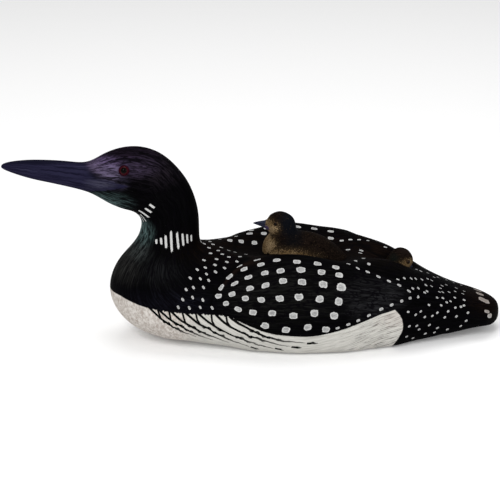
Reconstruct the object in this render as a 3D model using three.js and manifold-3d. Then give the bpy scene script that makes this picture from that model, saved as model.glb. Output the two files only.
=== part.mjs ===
// Loon decoy: a carved and painted common loon with two chicks riding on its back.
// Millimetres, +Z up, head toward -X, left side toward -Y.
// The origin is on the ground, under the middle of the length.

import * as THREE from "three";
import { mergeVertices } from "three/addons/utils/BufferGeometryUtils.js";
import Module from "manifold-3d";

const wasm = await Module();
wasm.setup();

// Driving dimensions
const LOON_LENGTH = 560; // bill tip to tail end
const WING_STEP = 2.8; // how far a folded wing stands out of the flank
const FRONT_CHICK_LENGTH = 112; // bill tip to tail
const REAR_CHICK_LENGTH = 92; // as if all of the bird were there
const LOON_EYE = 11; // glass eye, across
const LOON_EYE_PROUD = 3; // how far the glass stands out of the head
const CHICK_EYE = 4.6; // bead eye, across
const CHICK_EYE_PROUD = 1.3;
const GLUE_GAP = 0.3; // clearance round a piece that is set in or on another

// Mesh fineness
const LOON_RING_POINTS = 48; // points round the loon, a multiple of 4
const LOON_RING_SPACING = 15.5; // farthest that one ring lies from the next
const CHICK_RING_POINTS = 20;
const CHICK_RING_SPACING = 7;
const FOOT_STEPS_SHARE = 1 / 7; // part of a ring's steps that lies on the flat underside
const ARC_STEPS = 24; // fine steps along each arc of a cross-section
const OUTLINE_STEPS = 8; // fine steps from one corner of a wing to the next
const LOON_EYE_SIDES = 16;
const CHICK_EYE_SIDES = 10;
const WELD = 1e-4; // points closer than this are one

// Colours and finish
const LOON_PAINT = { color: 0x1b1a1d, roughness: 0.55 };
const CHICK_PAINT = { color: 0x5d5142, roughness: 0.6 };
const LOON_EYE_GLASS = { color: 0x5a1216, roughness: 0.08 };
const CHICK_EYE_GLASS = { color: 0x14100c, roughness: 0.08 };

// Hundredths of the loon's length
const share = LOON_LENGTH / 100;

// The loon's pattern: ribs from the bill tip round the neck and back to the tail.
// back and belly are [x, z] on the centre line, half is the half width and
// wide is how far up the rib it lies. Lengths are hundredths of the loon's length.
const LOON_RIBS = [
  { at: "bill tip", back: [-49.9, 37], belly: [-50, 36.2], half: 0.3, wide: 0.5 },
  { at: "bill point", back: [-48.6, 37.43], belly: [-48.6, 35.5], half: 0.65, wide: 0.5 },
  { at: "bill thirds", back: [-44.5, 37.8], belly: [-44.6, 34.03], half: 1.15, wide: 0.5 },
  { at: "nostrils", back: [-38.5, 37.5], belly: [-38.8, 32.6], half: 1.75, wide: 0.5 },
  { at: "bill root", back: [-33, 37.05], belly: [-32.5, 30.76], half: 2.4, wide: 0.48 },
  { at: "forehead", back: [-30, 38.6], belly: [-29.1, 28.6], half: 3.4, wide: 0.5 },
  { at: "eyes", back: [-26.6, 39.83], belly: [-26.2, 27.3], half: 4.25, wide: 0.52 },
  { at: "crown", back: [-22.6, 40.02], belly: [-24.1, 26.7], half: 4.65, wide: 0.5 },
  { at: "back of crown", back: [-18.6, 38.6], belly: [-22.9, 25.5], half: 4.7, wide: 0.48 },
  { at: "back of head", back: [-15.2, 35.45], belly: [-22.65, 24.1], half: 4.6, wide: 0.47 },
  { at: "nape", back: [-12.72, 31.6], belly: [-22.9, 22.7], half: 4.5, wide: 0.47 },
  { at: "neck", back: [-11.27, 26.6], belly: [-23.5, 21.1], half: 4.7, wide: 0.47 },
  { at: "neck foot", back: [-11.12, 22.4], belly: [-25.03, 19], half: 5.3, wide: 0.48 },
  { at: "breast top", back: [-10.9, 20.1], belly: [-27.67, 15.9], half: 6.7, wide: 0.48 },
  { at: "breast", back: [-10, 19.5], belly: [-29.3, 11.6], half: 8.6, wide: 0.48 },
  { at: "breast low", back: [-8.8, 19.2], belly: [-28.65, 7.4], half: 10, wide: 0.5 },
  { at: "keel", back: [-7, 19], belly: [-25.4, 3.2], half: 11.1, wide: 0.53 },
  { at: "foot front", back: [-4.4, 18.8], belly: [-17.6, 0], half: 12.3, wide: 0.53 },
  { at: "shoulder", back: [0, 19], belly: [-9.8, 0], half: 13.7, wide: 0.5 },
  { at: "middle", back: [8, 19.5], belly: [4, 0], half: 15.1, wide: 0.46 },
  { at: "long feathers", back: [17, 17.85], belly: [15.5, 0], half: 14.9, wide: 0.47 },
  { at: "wing ends", back: [24, 17.4], belly: [23.5, 0], half: 13.4, wide: 0.5 },
  { at: "wing tips", back: [28, 16.2], belly: [27.8, 0], half: 12.2, wide: 0.5 },
  { at: "rump front", back: [31, 14.5], belly: [30.8, 0.2], half: 11.1, wide: 0.5 },
  { at: "rump", back: [37, 11.1], belly: [36.8, 0.9], half: 8.9, wide: 0.48 },
  { at: "tail root", back: [42.5, 8.5], belly: [42.3, 1.4], half: 7.5, wide: 0.46 },
  { at: "tail", back: [47, 6.9], belly: [46.9, 1.8], half: 6.9, wide: 0.48 },
  { at: "tail edge", back: [49.4, 5.9], belly: [49.4, 2], half: 6.6, wide: 0.5 },
  { at: "tail end", back: [50, 4.9], belly: [50, 2.4], half: 6.3, wide: 0.5 },
];

// How square a cross-section is: 2 gives an ellipse, more gives fuller corners
const LOON_SQUARENESS = 2;
const CHICK_SQUARENESS = 2.2;

// Half width of the flat underside, as [x, half width]
const FOOT = [[-16.4, 0], [-9, 3.8], [-1, 9.4], [8, 12.1], [16, 12], [26, 9.6], [32, 7.2], [48, 4.2]];
const FOOT_FADE = [30, 42]; // where the edge of the flat fades into the round of the tail

// How far out the crests of the folded wings run, and how deep the back lies between
// them: a hollow for the chick in front, and a cleft for the chick behind
const CREST = [[-11, 0], [1, 8.6], [9, 10.4], [17, 11.2], [26, 4.6], [30, 3.8], [34.5, 0], [38, 0], [48, 4]];
const HOLLOW = [[-10, 0], [2, 2], [10, 2.4], [15, 2.4], [20, 0.8], [24, 2], [28, 2.9], [33.5, 0]];

// How far the corners of the tail lie ahead of its middle
const TAIL_SWEEP = [[39, 0], [48, 3.6]];

// The outline of a folded wing seen from the side
const WING_OUTLINE = [
  [-7.6, 11.8], // front corner
  [2.6, 19.6], // shoulder
  [11, 21.5], // over the crest
  [20, 18.2], // long feathers
  [32.4, 11.6], // tip
  [20, 6.2],
  [8.5, 4.9], // lowest place
  [-1, 7.2],
];
const WING_FADE = 2; // how far the step fades to either side of the outline
const WING_INNER = [5, 9]; // distance from the centre line over which the step begins

// A chick's pattern, in hundredths of its length, with the bill tip at x = 0
const CHICK_RIBS = [
  { at: "bill tip", back: [-1.2, 55.4], belly: [-1.4, 54.4], half: 0.8, wide: 0.5 },
  { at: "bill", back: [5, 57.1], belly: [5, 52.2], half: 2.7, wide: 0.5 },
  { at: "bill root", back: [12, 58.5], belly: [12, 49], half: 4.4, wide: 0.5 },
  { at: "face", back: [15.2, 64], belly: [15, 45.5], half: 8.5, wide: 0.48 },
  { at: "eyes", back: [20.7, 66.6], belly: [16, 43.4], half: 11.8, wide: 0.48 },
  { at: "crown", back: [28, 67.5], belly: [15.4, 41.8], half: 13, wide: 0.46 },
  { at: "back of head", back: [38.4, 62.3], belly: [12.4, 39.8], half: 13, wide: 0.45 },
  { at: "nape", back: [41.6, 54.2], belly: [9.4, 36.8], half: 13.6, wide: 0.45 },
  { at: "neck foot", back: [42.5, 48.5], belly: [7.6, 32], half: 15.5, wide: 0.45 },
  { at: "breast", back: [46, 47.2], belly: [8.6, 21], half: 18.5, wide: 0.45 },
  { at: "keel", back: [52, 46.8], belly: [17, 5], half: 21.5, wide: 0.42 },
  { at: "middle", back: [62, 44.6], belly: [52, 0], half: 23.5, wide: 0.4 },
  { at: "rump", back: [80, 34], belly: [80, 0], half: 19, wide: 0.42 },
  { at: "tail root", back: [93, 20.5], belly: [93, 4], half: 12, wide: 0.45 },
  { at: "tail", back: [100, 11], belly: [100, 7], half: 6, wide: 0.5 },
];

// The chick behind has only its head out, so its ribs narrow to an end under the neck
const HEAD_RIBS = 8;
const REAR_CHICK_RIBS = [
  ...CHICK_RIBS.slice(0, HEAD_RIBS),
  { at: "neck", back: [40, 44], belly: [16, 30], half: 10.5, wide: 0.5 },
  { at: "neck end", back: [37, 34], belly: [24, 27], half: 5, wide: 0.5 },
];

// Eyes, as [x, z] in hundredths of each bird's own length
const LOON_EYE_AT = [-25.9, 36.4];
const CHICK_EYE_AT = [21.5, 58.5];
const EYE_DEPTH = 0.7; // depth of a glass eye, as a part of its width

// Where each chick sits: a place [x, y] on the back, in hundredths of the loon's
// length, and the point [x, z] of the chick that meets it, in hundredths of its own
const FRONT_NEST = {
  at: [9.9, -0.8],
  seat: [50, 22.5],
  turn: THREE.MathUtils.degToRad(-8),
  pitch: 0,
};
const REAR_NEST = {
  at: [29.35, 0.2],
  seat: [18.5, 43.8],
  turn: THREE.MathUtils.degToRad(182),
  pitch: THREE.MathUtils.degToRad(-50),
};

// Rises smoothly from 0 to 1 as x goes from start to end
function rise(x, start, end) {
  return THREE.MathUtils.smoothstep(x, start, end);
}

// The value at x through a few [x, value] stations, eased from each to the next
function throughStations(stations, x) {
  let value = stations[0][1];
  for (let i = 1; i < stations.length; i += 1) {
    const [fromX, fromValue] = stations[i - 1];
    const [toX, toValue] = stations[i];
    value += (toValue - fromValue) * rise(x, fromX, toX);
  }
  return value;
}

// Places of the rings along the ribs: as many in each span as its length asks for
function ringPlaces(spans, back, belly, spacing) {
  const places = [0];
  for (let span = 0; span < spans; span += 1) {
    const start = span / spans;
    const end = (span + 1) / spans;
    const move = Math.max(
      back.getPoint(start).distanceTo(back.getPoint(end)),
      belly.getPoint(start).distanceTo(belly.getPoint(end)),
    );
    const steps = Math.ceil(move / spacing);
    for (let step = 1; step <= steps; step += 1) {
      places.push(THREE.MathUtils.lerp(start, end, step / steps));
    }
  }
  return places;
}

// One side of a cross-section as fine points [out, up], from the middle of the back
// to the middle of the belly. up runs from 0 at the belly to 1 at the crest.
function sectionOutline({ half, wide, foot, crest, hollow, power }) {
  const outline = [];
  for (let i = 0; i < ARC_STEPS; i += 1) {
    const part = i / ARC_STEPS;
    const dip = hollow * (0.5 + 0.5 * Math.cos(Math.PI * part));
    outline.push([crest * part, 1 - dip]);
  }
  for (let i = 0; i < ARC_STEPS; i += 1) {
    const angle = (Math.PI / 2) * (i / ARC_STEPS);
    const out = crest + (half - crest) * Math.sin(angle) ** power;
    outline.push([out, wide + (1 - wide) * Math.cos(angle) ** power]);
  }
  for (let i = 0; i < ARC_STEPS; i += 1) {
    const angle = (Math.PI / 2) * (i / ARC_STEPS);
    const out = foot + (half - foot) * Math.cos(angle) ** power;
    outline.push([out, wide * (1 - Math.sin(angle) ** power)]);
  }
  outline.push([foot, 0], [0, 0]);
  return outline;
}

// Points at even steps along an outline. hold, from 0 to 1, is how firmly one of
// them is kept on the edge of the flat underside.
function spreadPoints(outline, height, count, hold) {
  const reach = [0];
  for (let i = 1; i < outline.length; i += 1) {
    const [out, up] = outline[i];
    const [lastOut, lastUp] = outline[i - 1];
    reach.push(reach[i - 1] + Math.hypot(out - lastOut, (up - lastUp) * height));
  }
  const total = reach[reach.length - 1];
  const footSteps = Math.round(count * FOOT_STEPS_SHARE);
  const sideSteps = count - footSteps;
  const evenEdge = (total * sideSteps) / count;
  const trueEdge = Math.min(reach[reach.length - 2], evenEdge);
  const footEdge = THREE.MathUtils.lerp(evenEdge, trueEdge, hold);
  const points = [];
  let i = 1;
  for (let step = 0; step <= count; step += 1) {
    const onSide = (footEdge * step) / sideSteps;
    const onFoot = footEdge + ((total - footEdge) * (step - sideSteps)) / footSteps;
    const along = step <= sideSteps ? onSide : onFoot;
    while (i < outline.length - 1 && reach[i] < along) {
      i += 1;
    }
    const gap = reach[i] - reach[i - 1];
    const part = gap > 0 ? THREE.MathUtils.clamp((along - reach[i - 1]) / gap, 0, 1) : 1;
    points.push([
      THREE.MathUtils.lerp(outline[i - 1][0], outline[i][0], part),
      THREE.MathUtils.lerp(outline[i - 1][1], outline[i][1], part),
    ]);
  }
  return points;
}

// Rings of points round a bird, each starting on the back and going round by the
// left side. formAt gives the rest of the cross-section at a place along the back.
function drawRings(ribs, unit, ringPoints, spacing, formAt) {
  const curve = (pointOf) => new THREE.CatmullRomCurve3(ribs.map(pointOf), false, "centripetal");
  const onCentre = ([x, z]) => new THREE.Vector3(x * unit, 0, z * unit);
  const back = curve((rib) => onCentre(rib.back));
  const belly = curve((rib) => onCentre(rib.belly));
  const girth = curve((rib) => new THREE.Vector3(rib.half * unit, rib.wide, 0));
  const side = ringPoints / 2;
  return ringPlaces(ribs.length - 1, back, belly, spacing).map((place) => {
    const top = back.getPoint(place);
    const bottom = belly.getPoint(place);
    bottom.z = Math.max(bottom.z, 0);
    const { x: half, y: wide } = girth.getPoint(place);
    const height = top.distanceTo(bottom);
    const form = formAt(top.x / unit, bottom.x / unit);
    const outline = sectionOutline({
      half,
      wide,
      foot: form.foot * unit,
      crest: form.crest * unit,
      hollow: (form.hollow * unit) / height,
      power: 2 / form.squareness,
    });
    const left = spreadPoints(outline, height, side, form.hold).map(([out, up]) => {
      const point = bottom.clone().lerp(top, up);
      point.y = -out;
      point.x -= form.sweep * unit * (out / half) ** 2;
      return point;
    });
    const mirrored = left.slice(1, side).reverse();
    return left.concat(mirrored.map((point) => new THREE.Vector3(point.x, -point.y, point.z)));
  });
}

// Strips that close an end ring by joining its upper half to its lower half
function closeEnd(first, count, addQuad) {
  const quarter = count / 4;
  for (let i = -quarter; i < quarter; i += 1) {
    const upper = first + ((i + count) % count);
    const upperNext = first + ((i + 1 + count) % count);
    const lower = first + ((count / 2 - i) % count);
    const lowerNext = first + ((count / 2 - i - 1 + count) % count);
    addQuad(upper, upperNext, lowerNext, lower);
  }
}

// A closed skin over rings of points
function skinRings(rings) {
  const count = rings[0].length;
  const faces = [];
  const addQuad = (a, b, c, d) => faces.push(a, b, c, a, c, d);
  for (let ring = 0; ring + 1 < rings.length; ring += 1) {
    const here = ring * count;
    const there = here + count;
    for (let i = 0; i < count; i += 1) {
      const next = (i + 1) % count;
      addQuad(here + i, here + next, there + next, there + i);
    }
  }
  closeEnd(0, count, (a, b, c, d) => addQuad(d, c, b, a));
  closeEnd((rings.length - 1) * count, count, addQuad);
  const positions = rings.flat().flatMap((point) => point.toArray());
  const geometry = new THREE.BufferGeometry();
  geometry.setAttribute("position", new THREE.Float32BufferAttribute(positions, 3));
  geometry.setIndex(faces);
  return geometry;
}

// How far a place lies inside a closed outline, or outside it where negative
function depthInside(outline, place) {
  const nearest = new THREE.Vector2();
  let inside = false;
  let distance = Infinity;
  for (let i = 0; i + 1 < outline.length; i += 1) {
    const a = outline[i];
    const b = outline[i + 1];
    const span = b.clone().sub(a);
    const along = place.clone().sub(a).dot(span) / span.lengthSq();
    nearest.copy(a).addScaledVector(span, THREE.MathUtils.clamp(along, 0, 1));
    distance = Math.min(distance, nearest.distanceTo(place));
    const crosses = (a.y > place.y) !== (b.y > place.y);
    if (crosses && place.x < a.x + ((place.y - a.y) / span.y) * span.x) {
      inside = !inside;
    }
  }
  return inside ? distance : -distance;
}

// Moves the points of the two folded wings out of the body
function raiseWings(rings) {
  const corners = WING_OUTLINE.concat([WING_OUTLINE[0]]).map(([x, z]) => new THREE.Vector2(x, z));
  const outline = new THREE.SplineCurve(corners).getPoints(corners.length * OUTLINE_STEPS);
  const moves = [];
  for (let ring = 1; ring + 1 < rings.length; ring += 1) {
    const count = rings[ring].length;
    rings[ring].forEach((point, i) => {
      const place = new THREE.Vector2(point.x / share, point.z / share);
      const cover = rise(depthInside(outline, place), -WING_FADE, WING_FADE)
        * rise(Math.abs(point.y) / share, ...WING_INNER);
      const along = rings[ring + 1][i].clone().sub(rings[ring - 1][i]);
      const around = rings[ring][(i + 1) % count].clone().sub(rings[ring][(i + count - 1) % count]);
      const outward = around.cross(along).normalize();
      moves.push([point, outward.multiplyScalar(cover * WING_STEP)]);
    });
  }
  moves.forEach(([point, move]) => point.add(move));
}

function buildLoonSkin() {
  const rings = drawRings(LOON_RIBS, share, LOON_RING_POINTS, LOON_RING_SPACING, (backX, bellyX) => ({
    foot: throughStations(FOOT, bellyX),
    crest: throughStations(CREST, backX),
    hollow: throughStations(HOLLOW, backX),
    sweep: throughStations(TAIL_SWEEP, backX),
    hold: 1 - rise(backX, ...FOOT_FADE),
    squareness: LOON_SQUARENESS,
  }));
  raiseWings(rings);
  return skinRings(rings);
}

// A chick's skin, with its seat point at the origin
function buildChickSkin(ribs, length, [seatX, seatZ]) {
  const unit = length / 100;
  const plain = { foot: 0, crest: 0, hollow: 0, sweep: 0, hold: 0, squareness: CHICK_SQUARENESS };
  const rings = drawRings(ribs, unit, CHICK_RING_POINTS, CHICK_RING_SPACING, () => plain);
  return skinRings(rings).translate(-seatX * unit, 0, -seatZ * unit);
}

function toManifold(geometry) {
  const bare = geometry.clone();
  bare.deleteAttribute("normal");
  bare.deleteAttribute("uv");
  const merged = mergeVertices(bare, WELD);
  const index = merged.index.array;
  const triVerts = [];
  for (let i = 0; i < index.length; i += 3) {
    const corners = Array.from(index.slice(i, i + 3));
    if (new Set(corners).size === 3) {
      triVerts.push(...corners);
    }
  }
  const vertProperties = new Float32Array(merged.attributes.position.array);
  return new wasm.Manifold(new wasm.Mesh({
    numProp: 3,
    vertProperties,
    triVerts: new Uint32Array(triVerts),
  }));
}

function toGeometry(solid) {
  const mesh = solid.getMesh();
  const geometry = new THREE.BufferGeometry();
  geometry.setAttribute("position", new THREE.Float32BufferAttribute(mesh.vertProperties, 3));
  geometry.setIndex(Array.from(mesh.triVerts));
  return geometry;
}

// Where a straight line first meets a skin
function meetSkin(skin, from, direction) {
  const caster = new THREE.Raycaster(from, direction);
  const [hit] = caster.intersectObject(new THREE.Mesh(skin, new THREE.MeshBasicMaterial()));
  return hit;
}

// A glass eye that looks along +Z, with its highest point at the origin: a ball
// whose hidden side is ground flat
function eyeGeometry(width, sides) {
  const radius = width / 2;
  const depth = width * EYE_DEPTH;
  const rows = Math.round(sides / 3);
  const rimAngle = Math.acos(1 - depth / radius);
  const profile = [new THREE.Vector2(0, -depth)];
  for (let row = 0; row < rows; row += 1) {
    const angle = rimAngle * (1 - row / rows);
    profile.push(new THREE.Vector2(radius * Math.sin(angle), radius * (Math.cos(angle) - 1)));
  }
  profile.push(new THREE.Vector2(0, 0));
  return new THREE.LatheGeometry(profile, sides).rotateX(Math.PI / 2);
}

function makePiece(name, solid, finish) {
  const material = new THREE.MeshStandardMaterial({ ...finish, metalness: 0 });
  const mesh = new THREE.Mesh(toGeometry(solid), material);
  mesh.name = name;
  return mesh;
}

// Drills a pair of eye sockets in a bird's solid and sets an eye in each.
// at is [x, z] in the skin's own frame.
function setEyes(bird, skin, at, { width, proud, sides, finish }) {
  let solid = toManifold(skin);
  const eyes = [["left", -1], ["right", 1]].map(([word, side]) => {
    const from = new THREE.Vector3(at[0], side * LOON_LENGTH, at[1]);
    const hit = meetSkin(skin, from, new THREE.Vector3(0, -side, 0));
    const glass = makePiece(`${bird}_eye_${word}`, toManifold(eyeGeometry(width, sides)), finish);
    glass.position.copy(hit.point).addScaledVector(hit.face.normal, proud);
    glass.quaternion.setFromUnitVectors(new THREE.Vector3(0, 0, 1), hit.face.normal);
    glass.updateMatrix();
    const socket = eyeGeometry(width + 2 * GLUE_GAP, sides).translate(0, 0, GLUE_GAP);
    solid = solid.subtract(toManifold(socket.applyMatrix4(glass.matrix)));
    return glass;
  });
  return { solid, eyes };
}

// A chick with its eyes, seated on the loon's back with the glue gap between
function seatChick(name, ribs, length, nest, loonSkin) {
  const [x, y] = nest.at.map((value) => value * share);
  const above = new THREE.Vector3(x, y, LOON_LENGTH);
  const group = new THREE.Group();
  group.position.copy(meetSkin(loonSkin, above, new THREE.Vector3(0, 0, -1)).point);
  group.rotation.set(0, nest.pitch, nest.turn, "ZYX");
  group.updateMatrixWorld(true);
  const skin = buildChickSkin(ribs, length, nest.seat);
  const eyeAt = CHICK_EYE_AT.map((value, i) => ((value - nest.seat[i]) * length) / 100);
  const { solid, eyes } = setEyes(name, skin, eyeAt, {
    width: CHICK_EYE,
    proud: CHICK_EYE_PROUD,
    sides: CHICK_EYE_SIDES,
    finish: CHICK_EYE_GLASS,
  });
  const back = loonSkin.clone().translate(0, 0, GLUE_GAP);
  back.applyMatrix4(group.matrixWorld.clone().invert());
  group.add(makePiece(name, solid.subtract(toManifold(back)), CHICK_PAINT), ...eyes);
  return group;
}

const decoy = new THREE.Group();
const loonSkin = buildLoonSkin();
const loonEyeAt = LOON_EYE_AT.map((value) => value * share);
const loon = setEyes("loon", loonSkin, loonEyeAt, {
  width: LOON_EYE,
  proud: LOON_EYE_PROUD,
  sides: LOON_EYE_SIDES,
  finish: LOON_EYE_GLASS,
});
decoy.add(makePiece("loon", loon.solid, LOON_PAINT), ...loon.eyes);
decoy.add(seatChick("front_chick", CHICK_RIBS, FRONT_CHICK_LENGTH, FRONT_NEST, loonSkin));
decoy.add(seatChick("rear_chick", REAR_CHICK_RIBS, REAR_CHICK_LENGTH, REAR_NEST, loonSkin));

export default decoy;
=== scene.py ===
import math

import bmesh
import bpy
import numpy as np
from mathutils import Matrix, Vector, kdtree
from mathutils.bvhtree import BVHTree


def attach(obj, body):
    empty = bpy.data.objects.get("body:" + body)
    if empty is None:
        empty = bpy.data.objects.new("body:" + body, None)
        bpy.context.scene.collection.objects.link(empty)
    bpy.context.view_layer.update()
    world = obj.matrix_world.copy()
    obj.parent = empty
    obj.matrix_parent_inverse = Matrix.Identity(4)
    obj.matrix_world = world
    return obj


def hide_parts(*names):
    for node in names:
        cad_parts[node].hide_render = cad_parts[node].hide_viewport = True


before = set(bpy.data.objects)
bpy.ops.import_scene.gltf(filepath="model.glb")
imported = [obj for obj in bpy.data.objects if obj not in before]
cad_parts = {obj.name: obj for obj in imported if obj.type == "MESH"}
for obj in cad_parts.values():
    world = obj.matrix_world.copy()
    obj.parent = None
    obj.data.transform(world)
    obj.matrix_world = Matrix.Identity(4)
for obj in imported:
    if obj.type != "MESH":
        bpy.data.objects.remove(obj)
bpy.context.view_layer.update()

MM = 0.001

# Shapes, in metres
WELD = 1e-6
LOON_SOCKET = 0.0085  # reach from the middle of an eye within which its socket is taken out
CHICK_SOCKET = 0.0036
EYE_PATCH = (0.0155, 0.0105)  # half length and half height of the skin made round at an eye
LID_HEIGHT, LID_RADIUS, LID_WIDTH = 0.0008, 0.0058, 0.0011
FINE_EDGE, FINE_EYE = 0.005, 0.011  # reach of the finer faces at a wing's edge and at an eye
FINE_BEYOND = 0.03  # the finer faces at a wing's edge start this far from the middle
CRISP_EDGE, CRISP_INNER, CRISP_OUTER = 0.0012, 0.028, 0.05
LOON_LEVELS, CHICK_LEVELS = 2, 3
WING_LIFT = 0.6  # share of a wing's step that the crisp edge gives back
BESIDE = 0.3  # where lines that look for the skin from one side start
MARK_REACH, STROKE_REACH = 0.016, 0.012
FLANK_TOP = 0.0515
FAR_OFF = 9  # place of a corner that no mark is near
MOST_HALVES = 4.0  # farthest from a mark's middle, in its own half sizes
SHARP_FOLD = math.radians(55)
EYE_BACK = 0.4  # share of its radius at which a glass eye is cut off behind its middle

# The loon's pattern, in millimetres, head toward -X, left side toward -Y

# Outline of a folded wing seen from the side, as [x, z], how far its edge stands up in the
# solid, and how far the slope there reaches to each side of the outline
WING = [[-52, 64], [-38, 86], [-18, 102], [12, 110], [61.6, 119], [98, 105], [138, 87],
        [181.4, 65], [112, 34.7], [47.6, 27.4], [-5.6, 40.3], [-38, 52]]
WING_STEP = 2.8
WING_SOFT = 11.2

# Outline of the white breast and flank seen from the side, as [x, z]
WHITE = [[-200, 63], [-162, 61], [-153, 61.2], [-138, 57.3], [-129, 55], [-119, 53.3], [-97, 51.2],
         [-72, 50.7], [-52, 51], [-33, 50], [-22, 44.5], [-12, 40], [2, 34], [16, 30], [33, 28],
         [49, 27.2], [64, 28.5], [78, 31.5], [93, 35.5], [110, 41], [134, 49], [150, 52],
         [156, 44], [159, 38], [160.5, 30], [160, 23], [156, 14], [150, 3], [146, -30],
        [-200, -30]]

# Outline of the bill with its gape, seen from the side, as [x, z]
BILL = [[-300, 260], [-186, 209], [-181, 198], [-177, 193.5], [-162, 191.8], [-142, 186.2],
        [-151, 183], [-162, 180.3], [-174, 178.2], [-184, 177], [-196, 170], [-300, 170]]

# Ribs that the feathers run across, as [back x, back z, belly x, belly z]
RIBS = [[-280, 207, -280, 203], [-185, 207, -182, 173], [-149, 221, -147, 153],
        [-104, 216, -128, 143], [-72, 177, -127, 127], [-64, 149, -131, 118],
        [-62, 125, -139, 106], [-61, 111, -152, 89], [-56, 106, -161, 65], [-49, 105, -159, 41],
        [-39, 104, -143, 17], [-25, 105, -107, 0], [0, 107, -59, 0], [45, 109, 22, 0],
        [95, 101, 87, 0], [174, 77, 172, 1], [280, 30, 280, 19]]
GIRTH = 0.055  # the radius that every rib is drawn at for the grain
COMB_STEPS = 420

# Rows of spots on the body, each spot as [x, turn from the back down the side in degrees], with
# their half length along the row and half width, from the row's first spot to its last
WING_ROWS = [
    ([[-42, 72], [-32, 62], [-16, 56], [2, 53], [20, 50], [41, 53], [64, 54], [84, 56]],
     [[4.0, 2.2], [4.0, 2.4], [4.2, 2.7], [4.4, 2.6]]),
    ([[-27, 69], [-12, 64], [6, 61], [23, 60], [45, 60], [68, 61], [87, 62]],
     [[4.2, 2.0], [4.4, 2.6], [4.6, 3.1], [4.1, 2.8]]),
    ([[-45, 80], [-30, 78], [-11, 73], [6, 71], [25, 68], [46, 69], [69, 70], [89, 71]],
     [[3.7, 2.5], [4.3, 2.9], [4.9, 4.0]]),
    ([[-37, 86], [-16, 81], [1, 82], [21, 81], [42, 80], [65, 81], [86, 82]],
     [[3.5, 2.5], [4.4, 3.4], [4.5, 4.0]]),
    ([[-24, 90], [-8, 92], [13, 92], [36, 94], [59, 92], [81, 93]],
     [[3.8, 2.8], [4.3, 3.6], [4.5, 4.1]]),
    ([[5, 102], [28, 105], [52, 103], [72, 104]], [[4.3, 3.7], [4.2, 3.7]]),
    ([[85, 102.5], [97, 99.5], [108, 96.5], [120, 92.5], [134, 87.5], [146, 84],
      [158, 80.5], [168, 78], [178, 77]],
     [[2.2, 1.4], [2.3, 1.5], [1.7, 1.5]]),
    ([[120, 57], [132, 60], [144, 63], [156, 66], [167, 71]],
     [[2.5, 1.2], [2.7, 1.1]]),
]
# The rows along the wings' crests: two spots at each end of the left one, and the whole right one
CREST_ROWS = [
    ([[-21, 52], [-1, 47]], [[3.6, 1.0], [3.8, 1.1]]),
    ([[99, 51], [109, 55]], [[2.2, 0.9], [2.4, 1.1]]),
    ([[-21, -52], [-1, -45], [17, -43], [36, -44], [53, -44], [72, -46], [91, -47]],
     [[3, 1.6], [3.6, 2.4], [3.6, 2.2]]),
]

# Small spots as [x, turn]. Those near the middle of the back or rump aren't mirrored.
SHOULDER_SPOTS = [[-59, 39], [-67, 52], [-75, 62], [-80, 74], [-84, 84], [-89, 92], [-58, 50],
                  [-57, 58], [-64, 63], [-72, 72], [-73, 82], [-77, 92], [-38, 29], [-45, 38],
                  [-47, 47], [-47, 56], [-55, 65], [-61, 72], [-62, 84], [-65, 91], [-31, 36],
                  [-34, 44], [-37, 52], [-19, 37], [-23, 45], [-52, 91]]
BACK_SPOTS = [[-61, 2], [-57, 2], [-50, -14], [-47, -3], [-52, 12], [-38, 4], [-42, 19], [-30, 11],
              [-23, 14], [-11, 19], [-51, 26], [120, 30], [109, 43], [123, 47]]
RUMP_SPOTS = [[155, 60], [163, 57], [172, 55], [178, 53], [186, 50], [194, 41], [199, 42],
              [183, 16], [188, 16], [197, 4], [204, 16], [209, -3], [220, -28], [190, 60],
              [197, 60], [211, 52], [217, 41], [208, 61], [229, 44], [172, 68], [179, 67],
              [190, 70], [187, 72], [206, 70], [210, 70], [218, 69], [226, 65], [238, 57],
              [235, 71], [202, 79], [209, 80], [224, 80], [218, 85], [213, 86], [235, 85],
              [191, 87], [206, 89], [230, 94], [234, 93], [223, 94], [166, 92], [181, 93],
              [175, 96], [201, 97], [214, 97], [186, 100], [195, 100], [210, 104], [224, 105],
              [238, 103], [236, 114], [168, 108], [177, 109], [192, 111], [180, 114],
              [202, 117], [214, 122], [230, 121], [188, 122], [199, 123], [166, 120], [174, 125]]

# Spots that only the right side has: [x, turn, half length, half width]
RIGHT_SPOTS = [[-27, -25, 3, 3.2], [-14, -27, 3, 3.4], [1, -27, 3.2, 3.7], [-3, -40, 3.4, 2.2],
               [13, -38, 3.4, 2.6], [90, -42, 3.4, 2.2], [102, -38, 2.2, 1.5],
               [112, -37, 2.3, 1.3], [122, -36, 2.2, 1.2], [132, -34, 1.8, 1],
               [151, -28, 2.2, 1.1], [107, -16, 2.4, 1.5], [122, -15, 2.4, 1.5],
               [120, -6, 2.2, 1]]

# Larger spots on the end of the tail: [x, y, z, half length, half width]
TAIL_SPOTS = [[258, 11, 40, 4.8, 2.2], [258, -1, 41, 4.8, 3.4], [260, -16, 38, 6.8, 4.8],
              [262, -32, 31, 3.4, 1.8], [265, -31, 25, 4, 2.6], [260, 25, 36, 4.4, 3]]

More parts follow.
